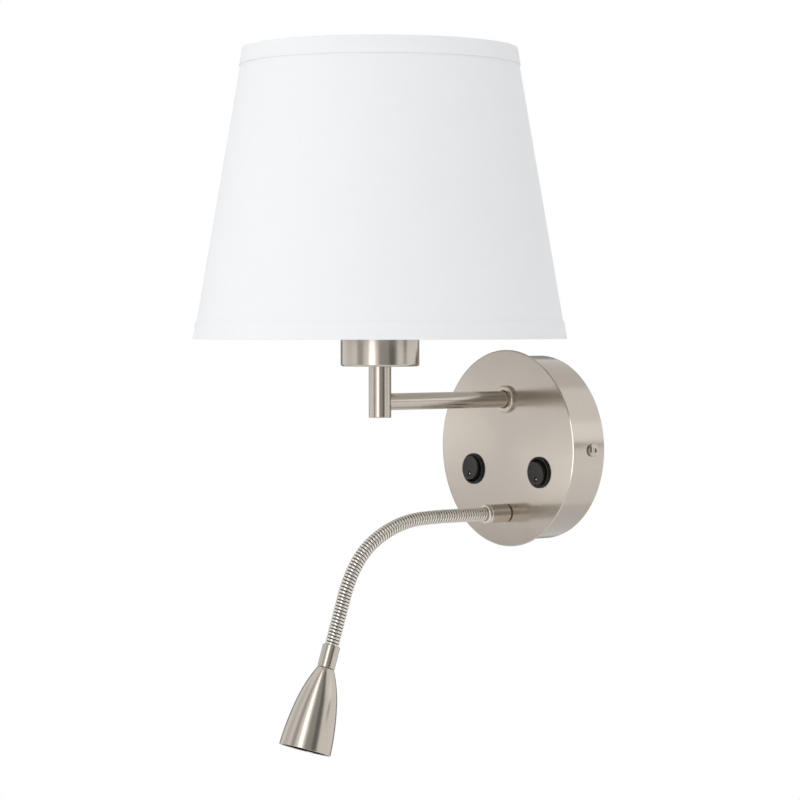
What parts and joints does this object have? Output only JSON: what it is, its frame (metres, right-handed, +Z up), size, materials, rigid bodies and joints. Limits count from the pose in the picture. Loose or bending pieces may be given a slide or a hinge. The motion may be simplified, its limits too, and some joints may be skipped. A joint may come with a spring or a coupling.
{
  "type": "wall reading lamp",
  "caption": "Wall lamp with a tapered cloth shade on a short arm, two rocker switches and a bendable spotlight under a round metal canopy.",
  "frame": {"origin": "centre of the canopy face that lies on the wall", "axes": "+Z up, the lamp stands out of the wall towards -Y, +X to the right when facing the wall"},
  "size_m": [0.2655, 0.2877, 0.4979],
  "materials": {
    "nickel": "satin brushed nickel plate",
    "zinc": "zinc plated steel",
    "black_plastic": "semi-gloss moulded black",
    "brass": "stamped brass",
    "white_cloth": "fine linen weave",
    "styrene": "matt white laminate",
    "white_wire": "white enamel",
    "holder_plastic": "matt cream thermoset",
    "bulb_glass": "frosted opal",
    "cap_metal": "bright tinned",
    "driver_plastic": "matt white casing",
    "wire_brown": "smooth brown insulation",
    "wire_blue": "smooth blue insulation",
    "wire_black": "smooth black insulation",
    "aluminium": "turned",
    "board": "white solder resist",
    "led_yellow": "phosphor",
    "reflector": "vacuum metallised",
    "lens": "clear moulded lens",
    "terminal_plastic": "natural nylon"
  },
  "bodies": {
    "base": {"arm_flange": "nickel", "arm_lock_nut": "zinc", "arm_rod": "nickel", "arm_washer": "zinc", "bulb_cap": "cap_metal", "bulb_glass": "bulb_glass", "canopy_drum": "nickel", "centre_contact": "brass", "contact_shell": "brass", "cup_nut": "zinc", "earth_screw": "brass", "front_plate": "nickel", "lamp_wire_live": "wire_brown", "lamp_wire_neutral": "wire_blue", "lampholder_body": "holder_plastic", "led_driver": "driver_plastic", "neck_fitting": "nickel", "neck_lock_nut": "zinc", "neck_root": "nickel", "neck_washer": "zinc", "post_tube": "nickel", "shade_clamp_ring": "holder_plastic", "shade_fabric": "white_cloth", "shade_hub": "white_wire", "shade_liner": "styrene", "shade_lower_ring": "white_wire", "shade_lower_trim": "white_cloth", "shade_spokes": "white_wire", "shade_upper_ring": "white_wire", "shade_upper_trim": "white_cloth", "side_screws": "nickel", "socket_cup": "nickel", "spotlight_lead": "wire_black", "switch_lead_left": "wire_black", "switch_lead_right": "wire_black", "switch_left_housing": "black_plastic", "switch_left_terminals": "brass", "switch_right_housing": "black_plastic", "switch_right_terminals": "brass", "terminal_block": "terminal_plastic", "threaded_nipple": "zinc", "wall_bracket": "zinc"},
    "spotlight": {"head_collar": "nickel", "head_shell": "nickel", "heat_sink": "aluminium", "led_board": "board", "led_chip": "led_yellow", "lens": "lens", "lens_ring": "black_plastic", "neck_end": "nickel", "reflector": "reflector"},
    "neck_1": {"neck_link_1": "nickel"},
    "neck_2": {"neck_link_2": "nickel"},
    "neck_3": {"neck_link_3": "nickel"},
    "neck_4": {"neck_link_4": "nickel"},
    "neck_5": {"neck_link_5": "nickel"},
    "neck_6": {"neck_link_6": "nickel"},
    "neck_7": {"neck_link_7": "nickel"},
    "left_rocker": {"switch_left_rocker": "black_plastic"},
    "right_rocker": {"switch_right_rocker": "black_plastic"}
  },
  "joints": [
    {"name": "neck_bend", "type": "hinge", "parent": "base", "child": "neck_1", "pos_m": [0, -0.0685, -0.0478], "axis": [1, 0, 0], "range_deg": [-20, 12]},
    {"name": "neck_swing", "type": "hinge", "parent": "neck_1", "child": "neck_2", "pos_m": [0, -0.0922, -0.0478], "axis": [0, 0, 1], "range_deg": [-15, 15]},
    {"name": "neck_bend_2", "type": "hinge", "parent": "neck_2", "child": "neck_3", "pos_m": [0, -0.11589, -0.04842], "axis": [1, 0, 0], "range_deg": [-20, 12]},
    {"name": "neck_swing_2", "type": "hinge", "parent": "neck_3", "child": "neck_4", "pos_m": [0, -0.13915, -0.05263], "axis": [0, -0.3007, 0.9537], "range_deg": [-15, 15]},
    {"name": "neck_bend_3", "type": "hinge", "parent": "neck_4", "child": "neck_5", "pos_m": [0, -0.16052, -0.0627], "axis": [1, 0, 0], "range_deg": [-20, 12]},
    {"name": "neck_swing_3", "type": "hinge", "parent": "neck_5", "child": "neck_6", "pos_m": [0, -0.17723, -0.07927], "axis": [0, -0.8339, 0.5519], "range_deg": [-15, 15]},
    {"name": "neck_bend_4", "type": "hinge", "parent": "neck_6", "child": "neck_7", "pos_m": [0, -0.18759, -0.10051], "axis": [1, 0, 0], "range_deg": [-20, 12]},
    {"name": "neck_swing_4", "type": "hinge", "parent": "neck_7", "child": "spotlight", "pos_m": [0, -0.19511, -0.12299], "axis": [0, -0.9483, 0.3173], "range_deg": [-15, 15]},
    {"name": "left_rocker_tilt", "type": "hinge", "parent": "base", "child": "left_rocker", "pos_m": [-0.0362, -0.031, -0.0165], "axis": [1, 0, 0], "range_deg": [0, 12]},
    {"name": "right_rocker_tilt", "type": "hinge", "parent": "base", "child": "right_rocker", "pos_m": [0.0362, -0.031, -0.0165], "axis": [1, 0, 0], "range_deg": [-12, 0]}
  ],
  "couplings": [
    {"joint": "neck_bend_2", "follows": "neck_bend", "ratio": 1},
    {"joint": "neck_swing_2", "follows": "neck_swing", "ratio": 1},
    {"joint": "neck_bend_3", "follows": "neck_bend", "ratio": 1},
    {"joint": "neck_swing_3", "follows": "neck_swing", "ratio": 1},
    {"joint": "neck_bend_4", "follows": "neck_bend", "ratio": 1},
    {"joint": "neck_swing_4", "follows": "neck_swing", "ratio": 1}
  ]
}
